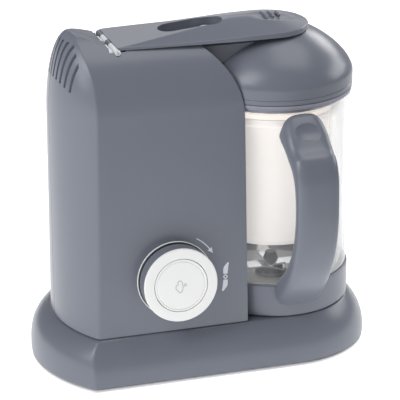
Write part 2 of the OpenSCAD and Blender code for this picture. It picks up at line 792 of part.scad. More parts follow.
base_plate();
base_feet();
base_screws();
base_housing();
bowl_seat();
cord_gland();
front_shell();
rear_shell();
hinge_knuckle();
lever_pin();
boiler_cup();
boiler_gasket();
heater_plate();
thermostat();
control_board();
rotary_switch();
lid_switch();
motor_can();
motor_bracket();
drive_belt();
knob_bezel();
lever_arm();
lever_grip();
steam_valve();
lid_dome();
lid_seal();
neck_seal();
lock_ring();
jar();
jar_collar();
handle();
handle_insert();
blade_nut();
blade_bearing();
steam_basket();
blade_shaft();
blade_dog();
blade_lower();
blade_upper();
blade_cap();
motor_rotor();
motor_pulley();
drive_shaft();
drive_pulley();
drive_dog();
knob_drum();
knob_ring();
knob_shaft();
knob_button();
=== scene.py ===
"""A countertop steamer-blender for baby food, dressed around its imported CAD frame."""
import json
import math

import bmesh
import bpy
from mathutils import Matrix, Vector


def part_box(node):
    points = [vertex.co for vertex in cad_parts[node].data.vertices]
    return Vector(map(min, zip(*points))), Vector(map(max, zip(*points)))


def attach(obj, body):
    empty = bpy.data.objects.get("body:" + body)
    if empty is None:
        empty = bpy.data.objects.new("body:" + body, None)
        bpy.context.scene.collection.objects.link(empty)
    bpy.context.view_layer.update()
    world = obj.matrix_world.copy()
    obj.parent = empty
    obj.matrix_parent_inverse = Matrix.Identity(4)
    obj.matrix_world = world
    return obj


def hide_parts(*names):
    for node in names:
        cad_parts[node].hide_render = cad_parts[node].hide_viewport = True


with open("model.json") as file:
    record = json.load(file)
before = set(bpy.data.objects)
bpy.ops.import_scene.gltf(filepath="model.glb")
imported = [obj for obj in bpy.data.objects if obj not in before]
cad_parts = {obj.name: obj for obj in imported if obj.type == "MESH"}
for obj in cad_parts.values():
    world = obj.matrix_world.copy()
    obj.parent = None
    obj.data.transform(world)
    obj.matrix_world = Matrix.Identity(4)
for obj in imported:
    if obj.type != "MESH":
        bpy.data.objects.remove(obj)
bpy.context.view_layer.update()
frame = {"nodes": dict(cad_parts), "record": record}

MM = 0.001
WALL = 2.5


# ---------------------------------------------------------------- mesh tools, in millimetres

def box_mm(node):
    low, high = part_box(node)
    return low / MM, high / MM


def make(name, points, faces):
    """A mesh object from points in millimetres, with its doubles merged and its normals out."""
    mesh = bpy.data.meshes.new(name)
    mesh.from_pydata([Vector(p) * MM for p in points], [], faces)
    bm = bmesh.new()
    bm.from_mesh(mesh)
    bmesh.ops.remove_doubles(bm, verts=bm.verts, dist=2e-6)
    bmesh.ops.recalc_face_normals(bm, faces=bm.faces)
    bm.to_mesh(mesh)
    bm.free()
    piece = bpy.data.objects.new(name, mesh)
    bpy.context.scene.collection.objects.link(piece)
    return piece


def loft(name, rings):
    """A closed solid through rings of equal length."""
    count = len(rings[0])
    points = [p for ring in rings for p in ring]
    faces = []
    for i in range(len(rings) - 1):
        for j in range(count):
            a, b = i * count + j, i * count + (j + 1) % count
            faces.append((a, b, b + count, a + count))
    faces.append(tuple(range(count)))
    faces.append(tuple(range(len(points) - count, len(points))))
    return make(name, points, faces)


def lathe(name, profile, x=0.0, y=0.0, steps=128):
    """Turns a closed outline of (radius, height) about the upright axis through (x, y)."""
    count = len(profile)
    points, faces = [], []
    for i in range(steps):
        a = 2 * math.pi * i / steps
        points += [(x + r * math.cos(a), y + r * math.sin(a), z) for r, z in profile]
    for i in range(steps):
        for j in range(count):
            k = (j + 1) % count
            if profile[j][0] < 1e-6 and profile[k][0] < 1e-6:
                continue
            a, b = i * count, (i + 1) % steps * count
            faces.append((a + j, b + j, b + k, a + k))
    return make(name, points, faces)


def block(name, x, y, z):
    ring = [(x[0], y[0]), (x[1], y[0]), (x[1], y[1]), (x[0], y[1])]
    return loft(name, [[(p[0], p[1], h) for p in ring] for h in z])


def prism(name, outline, z):
    return loft(name, [[(p[0], p[1], h) for p in outline] for h in z])


def rounded(corners, steps=6):
    """An outline whose corners (x, y, radius) are turned into arcs."""
    out = []
    for i, (x, y, r) in enumerate(corners):
        here = Vector((x, y))
        before = Vector(corners[i - 1][:2]) - here
        after = Vector(corners[(i + 1) % len(corners)][:2]) - here
        if r <= 0 or before.length < 1e-6 or after.length < 1e-6:
            out.append((x, y))
            continue
        before.normalize()
        after.normalize()
        half = before.angle(after) / 2
        if half > math.pi / 2 - 0.02:
            out.append((x, y))
            continue
        reach = r / math.tan(half)
        centre = here + (before + after).normalized() * (r / math.sin(half))
        start = here + before * reach - centre
        end = here + after * reach - centre
        turn = start.angle_signed(end)
        for k in range(steps + 1):
            spun = start.copy()
            spun.rotate(Matrix.Rotation(-turn * k / steps, 2))
            out.append(tuple(centre + spun))
    return out


def apply_all(piece):
    """Turns a piece's modifiers into its mesh."""
    graph = bpy.context.evaluated_depsgraph_get()
    mesh = bpy.data.meshes.new_from_object(piece.evaluated_get(graph))
    piece.modifiers.clear()
    piece.data = mesh
    return piece


def combine(piece, tools, operation="DIFFERENCE"):
    """Cuts tools out of a piece, or joins them to it, and deletes them."""
    for tool in tools:
        step = piece.modifiers.new("boolean", "BOOLEAN")
        step.operation = operation
        step.solver = "EXACT"
        step.object = tool
        apply_all(piece)
        bpy.data.objects.remove(tool)
    return piece


def merge(piece, other):
    """Adds another piece's mesh to this one's."""
    bm = bmesh.new()
    bm.from_mesh(piece.data)
    bm.from_mesh(other.data)
    bm.to_mesh(piece.data)
    bm.free()
    bpy.data.objects.remove(other)


def crease(piece, angle=40):
    """Marks the edges that fold by more than angle as sharp."""
    bm = bmesh.new()
    bm.from_mesh(piece.data)
    for edge in bm.edges:
        edge.smooth = len(edge.link_faces) != 2 or edge.calc_face_angle(0) < math.radians(angle)
    bm.to_mesh(piece.data)
    bm.free()
    return piece


def move_mesh(piece, matrix):
    piece.data.transform(matrix)
    if matrix.determinant() < 0:
        piece.data.flip_normals()
    return piece


def soften(piece, width=0.5, angle=30, segments=3):
    """Small round edges and smooth shading, as a moulding has."""
    piece.data.polygons.foreach_set("use_smooth", [True] * len(piece.data.polygons))
    if width:
        edge = piece.modifiers.new("edge", "BEVEL")
        edge.width = width * MM
        edge.segments = segments
        edge.limit_method = "ANGLE"
        edge.angle_limit = math.radians(angle)
        edge.miter_outer = "MITER_ARC"
        edge.use_clamp_overlap = True
    shade = piece.modifiers.new("shade", "WEIGHTED_NORMAL")
    shade.keep_sharp = True
    shade.weight = 80
    return piece


def dress(piece, body, material, replaces=()):
    """Gives a piece its finish and its place in the frame."""
    piece.data.materials.clear()
    piece.data.materials.append(material)
    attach(piece, body)
    if replaces:
        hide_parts(*replaces)
    return piece


def spline(points, t):
    """A smooth curve through points; t counts them."""
    last = len(points) - 1
    i = min(int(t), last - 1)
    u = t - i
    a, b = Vector(points[max(i - 1, 0)]), Vector(points[i])
    c, d = Vector(points[i + 1]), Vector(points[min(i + 2, last)])
    bend, twist = 2 * a - 5 * b + 4 * c - d, 3 * b - a - 3 * c + d
    return 0.5 * (2 * b + (c - a) * u + bend * u * u + twist * u ** 3)


def mix(a, b, t):
    return a + (b - a) * t


def clamp(v, low=0.0, high=1.0):
    return max(low, min(high, v))


# ---------------------------------------------------------------- materials

class Look:
    """A Principled material and short cuts to its node tree."""

    def __init__(self, name, color, rough=0.5, **sockets):
        self.material = bpy.data.materials.new(name)
        self.material.use_nodes = True
        self.material.diffuse_color = (*color, 1)
        self.nodes = self.material.node_tree.nodes
        self.links = self.material.node_tree.links
        self.shader = self.nodes["Principled BSDF"]
        self.shader.inputs["Base Color"].default_value = (*color, 1)
        self.shader.inputs["Roughness"].default_value = rough
        for key, value in sockets.items():
            self.shader.inputs[key.replace("_", " ")].default_value = value
        self.color = color
        self.place = self.nodes.new("ShaderNodeTexCoord").outputs["Object"]

    def noise(self, scale, detail=3.0, stretch=None):
        place = self.place
        if stretch:
            mapping = self.nodes.new("ShaderNodeMapping")
            mapping.inputs["Scale"].default_value = stretch
            self.links.new(place, mapping.inputs["Vector"])
            place = mapping.outputs["Vector"]
        noise = self.nodes.new("ShaderNodeTexNoise")
        noise.inputs["Scale"].default_value = scale
        noise.inputs["Detail"].default_value = detail
        self.links.new(place, noise.inputs["Vector"])
        return noise.outputs["Fac"]

    def vary_color(self, fac, amount):
        """The colour drifts by amount either way as fac goes from 0.3 to 0.7."""
        ramp = self.nodes.new("ShaderNodeValToRGB")
        ramp.color_ramp.elements[0].position = 0.3
        ramp.color_ramp.elements[1].position = 0.7
        ramp.color_ramp.elements[0].color = (*[c * (1 - amount) for c in self.color], 1)
        ramp.color_ramp.elements[1].color = (*[c * (1 + amount) for c in self.color], 1)
        self.links.new(fac, ramp.inputs["Fac"])
        self.links.new(ramp.outputs["Color"], self.shader.inputs["Base Color"])
        return self

    def vary_rough(self, fac, low, high):
        remap = self.nodes.new("ShaderNodeMapRange")
        remap.inputs["From Min"].default_value = 0.3
        remap.inputs["From Max"].default_value = 0.7
        remap.inputs["To Min"].default_value = low
        remap.inputs["To Max"].default_value = high
        self.links.new(fac, remap.inputs["Value"])
        self.links.new(remap.outputs["Result"], self.shader.inputs["Roughness"])
        return self

    def bump(self, fac, depth_mm, strength=1.0):
        bump = self.nodes.new("ShaderNodeBump")
        bump.inputs["Distance"].default_value = depth_mm * MM
        bump.inputs["Strength"].default_value = strength
        self.links.new(fac, bump.inputs["Height"])
        last = self.shader.inputs["Normal"]
        if last.is_linked:
            self.links.new(last.links[0].from_socket, bump.inputs["Normal"])
        self.links.new(bump.outputs["Normal"], last)
        return self


def srgb(r, g, b):
    """A screen colour, 0 to 255, as the linear colour that a shader takes."""
    return tuple(((c / 255 + 0.055) / 1.055) ** 2.4 if c > 10 else c / 255 / 12.92 for c in (r, g, b))


def moulded(name, color, rough=0.42, grain=0.012, drift=0.008, **sockets):
    """Moulded plastic: spark-eroded grain, a soft large drift and uneven gloss."""
    look = Look(name, color, rough, **sockets)
    look.vary_color(look.noise(14, 2), drift)
    look.vary_rough(look.noise(120, 3), rough - 0.004, rough + 0.004)
    look.bump(look.noise(2600, 2), grain)
    return look.material


def brushed(name, color, rough=0.28, stretch=(1, 1, 40)):
    """Drawn or ground metal, with streaks across its stretched direction."""
    look = Look(name, color, rough, Metallic=1.0)
    streak = look.noise(160, 3, stretch)
    look.vary_color(streak, 0.10)
    look.vary_rough(streak, rough - 0.08, rough + 0.12)
    look.bump(streak, 0.01)
    return look.material


def clear_plastic(name):
    """Clear moulded wall: nearly unseen face on, denser and greyer towards its edges."""
    pale, grey = (0.93, 0.94, 0.95), (0.42, 0.43, 0.48)
    look = Look(name, pale, 0.06)
    look.vary_rough(look.noise(40, 3), 0.04, 0.09)
    look.bump(look.noise(7, 1), 0.1, 0.5)
    facing = look.nodes.new("ShaderNodeLayerWeight")
    facing.inputs["Blend"].default_value = 0.35
    edge = look.nodes.new("ShaderNodeMapRange")
    edge.inputs["To Min"].default_value = 0.04
    edge.inputs["To Max"].default_value = 0.8
    look.links.new(facing.outputs["Facing"], edge.inputs["Value"])
    look.links.new(edge.outputs["Result"], look.shader.inputs["Alpha"])
    tint = look.nodes.new("ShaderNodeValToRGB")
    tint.color_ramp.elements[0].position = 0.6
    tint.color_ramp.elements[0].color = (*pale, 1)
    tint.color_ramp.elements[1].position = 0.97
    tint.color_ramp.elements[1].color = (*grey, 1)
    look.links.new(facing.outputs["Facing"], tint.inputs["Fac"])
    look.links.new(tint.outputs["Color"], look.shader.inputs["Base Color"])
    return look.material


def rubber(name, color, rough=0.7):
    """Matt rubber or silicone with a fine uneven skin."""
    look = Look(name, color, rough)
    look.vary_color(look.noise(50, 3), 0.08)
    look.vary_rough(look.noise(300, 3), rough - 0.08, rough + 0.08)
    look.bump(look.noise(1500, 2), 0.03)
    return look.material


shell_grey = moulded("shell_grey", srgb(115, 120, 132), 0.28)
knob_white = moulded("knob_white", srgb(248, 249, 248), 0.34, 0.006, 0.006)
plate_pale = moulded("plate_pale", srgb(238, 239, 242), 0.42)
inner_dark = moulded("inner_dark", srgb(58, 60, 66), 0.5, 0.03, 0.06)
# the basket's faint emission is painted light: a glow that stands in for light coming through its thin pale
# wall inside the jar
basket_cream = moulded("basket_cream", srgb(246, 241, 236), 0.45, 0.01, 0.01,
                       Emission_Color=(1.0, 0.96, 0.92, 1), Emission_Strength=0.35)
print_white = moulded("print_white", srgb(226, 228, 236), 0.5, 0.004, 0.01)
print_grey = moulded("print_grey", srgb(196, 198, 200), 0.5, 0.004, 0.02)
jar_clear = clear_plastic("jar_clear")
steel = brushed("steel", (0.62, 0.62, 0.63))
blade_steel = brushed("blade_steel", (0.72, 0.72, 0.73), 0.16, (30, 1, 1))
rubber_dark = rubber("rubber_dark", srgb(52, 53, 56))
seal_pale = rubber("seal_pale", srgb(152, 152, 168), 0.5)
board_green = moulded("board_green", srgb(40, 92, 66), 0.4, 0.02, 0.08)
SLOT_LOOKS = {
    "shell_grey": shell_grey, "knob_white": knob_white, "plate_pale": plate_pale, "inner_dark": inner_dark,
    "basket_cream": basket_cream, "jar_clear": jar_clear, "steel": steel, "rubber_dark": rubber_dark,
    "seal_pale": seal_pale, "board_green": board_green,
}

# ---------------------------------------------------------------- sizes read from the frame

collar_low, collar_high = box_mm("jar_collar")
base_low, base_high = box_mm("base_housing")
shell_low, shell_high = box_mm("front_shell")
dome_low, dome_high = box_mm("lid_dome")
jar_high = box_mm("jar")[1]
JUG_X = (collar_low.x + collar_high.x) / 2
COLLAR_R = (collar_high.x - collar_low.x) / 2
BASE_H = base_high.z
PLATE_H = base_low.z
DECK_Z = 253.0          # the tower's flat top, under the lever
CREST_Z = shell_high.z
LOW_W = -shell_low.y


def on_jug(profile, name, steps=160):
    """Turns a profile about the jug's axis."""
    return lathe(name, profile, JUG_X, 0, steps)


def rod_y(name, x, z, r, y):
    """A round bar along y, from y[0] to y[1]."""
    piece = lathe(name, [(0, 0), (r, 0), (r, y[1] - y[0]), (0, y[1] - y[0])], steps=64)
    spin = Matrix.Rotation(math.radians(90), 4, "X")
    return move_mesh(piece, Matrix.Translation(Vector((x, y[1], z)) * MM) @ spin)


# ---------------------------------------------------------------- base

FOOT_R = 1.4            # round at the base's lower edge
TOWER_LEFT = -117.1     # middle of the tower's left side, where it meets the base
RIM = 0.6               # how far the base's top edge stands out from the tower
FLARE = 12.3            # how much farther out the base is at its foot
LEFT_FLARE = 15.6       # the same on the left side
SAG = 0.33              # depth of the tower's curved left side, as a share of its half width
FOOT_SAG_GAIN = 0.075   # how much deeper that curve is at the foot
TOWER_FILLET = 4.5
WELL_R = 54.3
GLAND_X, GLAND_Z, GLAND_R = -60, 16, 5.1
PAD_R = 8
PAD_Y_LEFT, PAD_Y_RIGHT = 38, 46


def left_side(w, cx, r, f, fillet_steps, arc_steps, close=0.0):
    """From the front corner round to the middle of the left side, where y = -close."""
    fx = cx - math.sqrt((r - f) ** 2 - (w - f) ** 2)
    turn = math.atan2(w - f, cx - fx)
    out = []
    for i in range(fillet_steps + 1):
        a = mix(-math.pi / 2, -math.pi + turn, i / fillet_steps)
        out.append((fx + f * math.cos(a), -(w - f) + f * math.sin(a)))
    stop = math.asin(clamp(close / r))
    for i in range(1, arc_steps + 1):
        a = -math.pi + mix(turn, stop, i / arc_steps)
        out.append((cx + r * math.cos(a), r * math.sin(a)))
    return out


def base_outline(z, inset):
    """The base's outline at one height: a bowed left side, straight sides and a round right end."""
    rise = clamp((z - PLATE_H) / (BASE_H - PLATE_H))
    tuck = FOOT_R * (1 - math.sqrt(1 - clamp(1 - (z - PLATE_H) / FOOT_R) ** 2)) if z > PLATE_H else 0
    s = RIM + FLARE * (1 - rise ** 2.5) - tuck
    bulge = 1 - rise ** 4.2
    w = LOW_W + s - inset
    sag = (LOW_W + s) * (SAG + FOOT_SAG_GAIN * bulge)
    r = ((LOW_W + s) ** 2 + sag ** 2) / (2 * sag)
    left = TOWER_LEFT - RIM - LEFT_FLARE * bulge + tuck
    side = left_side(w, left + r, r - inset, TOWER_FILLET - inset, 10, 28)
    back = [(p[0], -p[1]) for p in reversed(side[:-1])]
    long = w + 0.9 + 0.11 * s
    end = [(JUG_X + long * math.cos(a), w * math.sin(a)) for a in
           [math.radians(90 - i * 180 / 80) for i in range(81)]]
    return [(p[0], p[1], z) for p in side + back + end]


def base_rings(levels, inset, soft):
    """The flared base at its levels, with a small round of radius soft along its top edge."""
    rings = [base_outline(z, inset) for z in levels[:-1]]
    for k in range(5):
        a = math.radians(90 * k / 4)
        rings.append(base_outline(levels[-1] - soft * (1 - math.sin(a)), inset + soft * (1 - math.cos(a))))
    return rings


def make_base():
    foot = [PLATE_H + 0.1 + FOOT_R * (1 - math.cos(math.radians(10 * i))) for i in range(9)]
    body = [mix(PLATE_H + FOOT_R, BASE_H - 1.5, i / 20) for i in range(20)]
    base = loft("base", base_rings(foot + body + [BASE_H], 0, 1.2))
    inner = loft("inner", base_rings([PLATE_H - 1, PLATE_H + 1, 6, 12, 20, 28, BASE_H - WALL], WALL, 0.5))
    well = on_jug([(0, BASE_H - 8), (WELL_R, BASE_H - 8), (WELL_R, BASE_H + 5), (0, BASE_H + 5)], "well")
    motor_hole = block("hole", (-86, -14), (-34, 34), (BASE_H - 5, BASE_H + 5))
    gland = rod_y("gland", GLAND_X, GLAND_Z, GLAND_R, (50, 80))
    combine(base, [inner, well, motor_hole, gland])
    soften(base, 0.35, 40, 2)
    dress(base, "housing", shell_grey, ["base_housing"])
    plate = loft("bottom_plate", [base_outline(0, 0.7), base_outline(0.4, 0.4), base_outline(PLATE_H, 0.4)])
    low, high = box_mm("base_feet")
    recess = [(0, -1), (PAD_R + 0.1, -1), (PAD_R + 0.1, 1.95), (0, 1.95)]
    for x, y in ((low.x + PAD_R, PAD_Y_LEFT), (high.x - PAD_R, PAD_Y_RIGHT)):
        for side in (-y, y):
            combine(plate, [lathe("pad", recess, x, side, 48)])
    soften(plate, 0)
    dress(plate, "housing", plate_pale, ["base_plate"])


# ---------------------------------------------------------------- tower

ARCH_Z = 205.0          # where the leaning sides start to close into the arch
ARCH_H = CREST_Z - ARCH_Z
HIGH_W = 48.6           # half width at ARCH_Z
HIGH_SAG_GAIN = 0.17
SHOULDER_Z = 200.0      # where the left side starts to round over to the crest
SHOULDER_X = -101.0
SHOULDER_W = 17
PANEL_X = shell_high.x
CORNER_R = 64.0         # the big round at the panel's upper right
CORNER_Z = 199.0
CORNER_X = PANEL_X - CORNER_R
SEAM = 0.3              # half the gap between the two shells
BAY_R = 61.7            # hollow that the jug and lid stand in
SLOPE_X = -73.0         # where the slope down from the crest meets the deck
HINGE = Vector((-71.5, 0, 252.2))
KNUCKLE_R = 2.3
KNUCKLE_GAP = 0.3
PIN_R = 1.15
RECESS_X = -58.0        # recess for the lid's steam neck
RECESS_Z = 232.0
NECK_W = 23.5
BOILER_X = -32.0
VENTS = 6
LEAN = math.atan((LOW_W - HIGH_W) / (ARCH_Z - BASE_H))


def tower_w(z, o=0.0):
    """The tower's half width at one height, o inside its skin."""
    if z < ARCH_Z:
        return mix(LOW_W, HIGH_W, (z - BASE_H) / (ARCH_Z - BASE_H)) - o
    u = clamp((z - ARCH_Z) / (ARCH_H - o))
    return (HIGH_W - o) * (1 - u * u) ** (0.5 + 0.12 * clamp((u - 0.4) / 0.4))


def tower_left(z, o=0.0):
    if z < SHOULDER_Z:
        return mix(TOWER_LEFT, -118, (z - BASE_H) / (SHOULDER_Z - BASE_H)) + o
    rise = (z - SHOULDER_Z) / (CREST_Z - SHOULDER_Z - o)
    return SHOULDER_X - (SHOULDER_W - o) * math.sqrt(max(0, 1 - rise ** 2))


def tower_right(z, o=0.0):
    if z < CORNER_Z:
        return PANEL_X - o
    return CORNER_X + math.sqrt(max(0, (CORNER_R - o) ** 2 - (z - CORNER_Z) ** 2))


def half_outline(z, o=0.0, shrink=0.0):
    """The front half of the tower's outline at one height."""
    w = tower_w(z, o) - shrink
    sag = w * (SAG + HIGH_SAG_GAIN * clamp((z - BASE_H) / (ARCH_Z - BASE_H)))
    r = (w * w + sag * sag) / (2 * sag)
    left = tower_left(z, o) + shrink
    close = SEAM if o == 0 else 0.0
    side = left_side(w, left + r, r, clamp(w / 13, 0.4, TOWER_FILLET), 8, 30, close)
    right = max(tower_right(z, o) - shrink, side[0][0] + 1)
    y = 2.0 if o else -SEAM
    if o:
        side[-1] = (left, y)
    return [(p[0], p[1], z) for p in [(right, y), (right, -w)] + side]


def tower_levels(o):
    if o:
        levels = [BASE_H - 5, 100, CORNER_Z]
    else:
        levels = [BASE_H + 1.0, 60, 90, 120, 150, 175, 190, CORNER_Z]
    turns = list(range(0, 82, 3)) + [82, 84, 86]
    return levels + [ARCH_Z + (ARCH_H - o) * math.sin(math.radians(a)) for a in turns]


def tower_cutters(o):
    """What is cut from the arch: its top, the jug's bay, the neck's recess and the hinge's pocket."""
    slope = block("slope", (-70, 2), (-80, 80), (0, 60))
    angle = math.atan((CREST_Z - DECK_Z) / (SLOPE_X - SHOULDER_X))
    foot = Matrix.Translation(Vector((SLOPE_X, 0, DECK_Z - o)) * MM)
    move_mesh(slope, foot @ Matrix.Rotation(angle, 4, "Y"))
    clear = KNUCKLE_R + KNUCKLE_GAP + o
    return [
        block("top", (SLOPE_X, 80), (-80, 80), (DECK_Z - o, 320)),
        slope,
        on_jug([(0, 20), (BAY_R + o, 20), (BAY_R + o, 290), (0, 290)], "bay", 192),
        block("recess", (RECESS_X - o, 42), (-NECK_W - 1 - o, NECK_W + 1 + o), (RECESS_Z - o, 310)),
        block("pocket", (-77.5 - o, -65 + o), (-26.5 - o, 26.5 + o), (247.6 - o, 305)),
        rod_y("knuckle", HINGE.x, HINGE.z, clear, (-60, 60)),
        block("notch", (HINGE.x - clear, HINGE.x + clear), (-61, 61), (HINGE.z, 300)),
    ]


def make_shells():
    """The front shell, and the rear shell as its mirror image without the knob's hole."""
    rings = [half_outline(BASE_H + 0.1, 0, 1.0), half_outline(BASE_H + 0.9, 0, 1.0)]
    front = loft("front_panel", rings + [half_outline(z) for z in tower_levels(0)])
    combine(front, tower_cutters(0))
    inner = loft("inside", [half_outline(z, WALL) for z in tower_levels(WALL)])
    combine(inner, tower_cutters(WALL))
    combine(front, [inner])
    boiler_hole = lathe("mouth", [(0, 224), (18.5, 224), (18.5, 236), (0, 236)], BOILER_X, 0, 96)
    vents = []
    for i in range(VENTS):
        y = -5.7 * i
        low, high = 232 - i * i / 4, 259.5 - i * i / 7
        vents.append(block("vent", (-124, SHOULDER_X - 0.6), (y - 1.15, y + 1.15), (low, high)))
    combine(front, [boiler_hole] + vents)
    rear = bpy.data.objects.new("rear_panel", front.data.copy())
    bpy.context.scene.collection.objects.link(rear)
    move_mesh(rear, Matrix.Scale(-1, 4, (0, 1, 0)))
    shaft = lathe("shaft", [(0, -10), (9, -10), (9, 10), (0, 10)], steps=64)
    combine(front, [move_mesh(shaft, ON_FRONT)])
    for piece, node in ((front, "front_shell"), (rear, "rear_shell")):
        soften(piece, 0.75, 35, 3)
        dress(piece, "housing", shell_grey, [node])


# ---------------------------------------------------------------- knob and its printed signs

knob_low, knob_high = box_mm("knob_ring")
KNOB_X = (knob_low.x + knob_high.x) / 2
KNOB_Z = 79.7
KNOB_R = (knob_high.x - knob_low.x) / 2
KNOB_H = 17.0
PRINT_H = 0.16
BUTTON_R = 20.5
BEZEL_R = 29.6
ON_FRONT = (Matrix.Translation(Vector((KNOB_X, -tower_w(KNOB_Z), KNOB_Z)) * MM)
            @ Matrix.Rotation(math.pi / 2 - LEAN, 4, "X"))


def front_lathe(name, profile):
    """Turns a profile about the knob's axis, on the leaning front."""
    return move_mesh(lathe(name, profile, steps=160), ON_FRONT)


def circle(x, y, r, steps=32):
    turns = [2 * math.pi * i / steps for i in range(steps)]
    return [(x + r * math.cos(a), y + r * math.sin(a)) for a in turns]


def steam_outline(steps=6):
    """A small puff of steam: a wavy closed line, taller than it is wide."""
    marks = [(-0.7, 3.9), (0.7, 2.4), (0.7, 0.8), (1.3, -1.4), (0.3, -4.6), (-1.2, -5.4), (-2.8, -4.0),
             (-4.4, -1.6), (-3.9, 0.3), (-2.5, 1.1), (-2.8, 3.0)]
    around = marks[-1:] + marks + marks[:2]
    return [tuple(spline(around, 1 + i / steps)) for i in range(len(marks) * steps)]


def ring_shape(name, outline, width, z):
    """A thin printed line that follows a closed outline on the knob's front."""
    count = len(outline)
    points, faces = [], []
    for i, p in enumerate(outline):
        a, b = Vector(outline[i - 1]), Vector(outline[(i + 1) % count])
        side = Vector((b.y - a.y, a.x - b.x)).normalized() * width / 2
        for s in (-1, 1):
            q = Vector(p) + side * s
            points += [(q.x, q.y, z[0]), (q.x, q.y, z[1])]
    for i in range(count):
        a, b = 4 * i, 4 * ((i + 1) % count)
        faces += [(a, b, b + 1, a + 1), (a + 2, a + 3, b + 3, b + 2), (a + 1, b + 1, b + 3, a + 3),
                  (a, a + 2, b + 2, b)]
    return make(name, points, faces)


def make_knob():
    drum = front_lathe("knob_side", [(4, 3), (KNOB_R - 0.4, 3), (KNOB_R - 0.3, KNOB_H - 2.4),
                                     (BUTTON_R + 0.3, KNOB_H - 2.4), (BUTTON_R + 0.3, 6), (4, 6)])
    soften(drum, 0.3)
    dress(drum, "knob", shell_grey, ["knob_drum"])
    face = front_lathe("knob_face", rounded([
        (BUTTON_R + 0.4, KNOB_H - 2.4, 0), (KNOB_R, KNOB_H - 2.4, 0.3), (KNOB_R, KNOB_H - 0.1, 0.9),
        (BUTTON_R + 0.4, KNOB_H, 0.35)]))
    soften(face, 0)
    dress(face, "knob", knob_white, ["knob_ring"])
    button = front_lathe("press_button", rounded([
        (0, 9, 0), (BUTTON_R, 9, 0.4), (BUTTON_R, KNOB_H - 0.1, 0.35), (BUTTON_R - 1.2, KNOB_H + 0.05, 0.3),
        (BUTTON_R - 1.4, KNOB_H - 0.55, 0.15), (BUTTON_R - 1.9, KNOB_H - 0.5, 0.15),
        (BUTTON_R - 2.5, KNOB_H - 0.05, 0.6), (0, KNOB_H + 0.3, 0)]))
    soften(button, 0)
    dress(button, "button", knob_white, ["knob_button"])
    level = (KNOB_H + 0.1, KNOB_H + 0.36)
    sign = ring_shape("steam_sign", steam_outline(), 0.6, level)
    puff = ring_shape("steam_puff", circle(2.9, 0.3, 0.9), 0.6, level)
    for piece in (sign, puff):
        dress(move_mesh(piece, ON_FRONT), "button", print_grey)
    bezel = front_lathe("knob_bezel_ring", rounded([
        (BEZEL_R - 0.8, 0.05, 0), (BEZEL_R, 0.05, 0.2), (BEZEL_R, 1.1, 0.35), (BEZEL_R - 0.8, 1.1, 0.35)]))
    soften(bezel, 0)
    dress(bezel, "housing", knob_white, ["knob_bezel"])


def flat_sign(name, outline):
    return move_mesh(prism(name, outline, (0.0, PRINT_H)), ON_FRONT)


def arc(r, start, stop, steps=12):
    turns = [math.radians(mix(start, stop, i / steps)) for i in range(steps + 1)]
    return [(r * math.cos(a), r * math.sin(a)) for a in turns]


def make_signs():
    """The arrow beside the knob and the blade sign it points to, as raised prints."""
    r, start, stop, half = 34.5, 59, 36, 0.42
    a = math.radians(stop)
    out, along = Vector((math.cos(a), math.sin(a))), Vector((math.sin(a), -math.cos(a)))
    tip = out * r
    head = [tuple(p) for p in (tip + out * 2.0, tip + along * 4.4, tip - out * 2.0)]
    arrow = arc(r + half, start, stop) + head + arc(r - half, stop, start)
    dress(flat_sign("turn_arrow", arrow), "housing", print_white)
    centre = Vector((40.1, -3.5))
    leaf = rounded([(-1.7, 2.3, 0.4), (1.7, 2.3, 0.4), (2.3, 7.5, 5), (3.0, 11.3, 0.5), (1.9, 11.3, 0.9),
                    (-1.7, 7.4, 5)])
    for side in (1, -1):
        spun = [(centre.x + side * p[0], centre.y + side * p[1]) for p in leaf]
        dress(flat_sign("blade_sign", spun), "housing", print_white)
    hub = ring_shape("blade_sign_hub", circle(centre.x, centre.y, 1.3), 0.9, (0, PRINT_H))
    dress(move_mesh(hub, ON_FRONT), "housing", print_white)


# ---------------------------------------------------------------- lever

lever_high = box_mm("lever_arm")[1]
LEVER_X = -71.0         # the lever's hinge end
LEVER_W = 32.0          # half width, and the radius of its round end
LEVER_TIP = lever_high.x - LEVER_W
HINGE_W = 26            # half width at the hinge
WIDEN_LENGTH = 95       # over which it widens from HINGE_W to LEVER_W
LEVER_Z = DECK_Z + 0.4
LEVER_CREST = 263.8
RIM_Z = (255.2, 257.2)  # upper edge of the sides, at the hinge and at the round end
FACET_SLOPE = 0.091
CREST_ROUND = 0.12      # how round the roof's crest is, as a share of the half width
DISH_X, DISH_L, DISH_W, DISH_DEPTH = 58, 19, 13, 0.9
EDGE_R = 0.8
RIDGES = 3


def lever_half(x):
    if x < LEVER_TIP:
        return mix(HINGE_W, LEVER_W, clamp((x - LEVER_X) / WIDEN_LENGTH))
    return LEVER_W * math.sqrt(max(0, 1 - ((x - LEVER_TIP) / LEVER_W) ** 2))


def lever_top(x, y):
    """A ridged roof with a round crest, cut by a flat facet that rises from the hinge."""
    away = abs(y) / lever_half(x) if x < LEVER_TIP else math.hypot(x - LEVER_TIP, y) / LEVER_W
    t = clamp(away)
    along = clamp((x + 30) / 83)
    rim = mix(*RIM_Z, along * along * (3 - 2 * along))
    roof = rim + (LEVER_CREST - rim) * (1 - (math.sqrt(t * t + CREST_ROUND ** 2) - CREST_ROUND) / 0.887)
    top = min(RIM_Z[0] + (x - LEVER_X) * FACET_SLOPE, roof)
    dish = 1 - ((x - DISH_X) / DISH_L) ** 2 - (y / DISH_W) ** 2
    return top - DISH_DEPTH * clamp(dish * 1.8) ** 1.3


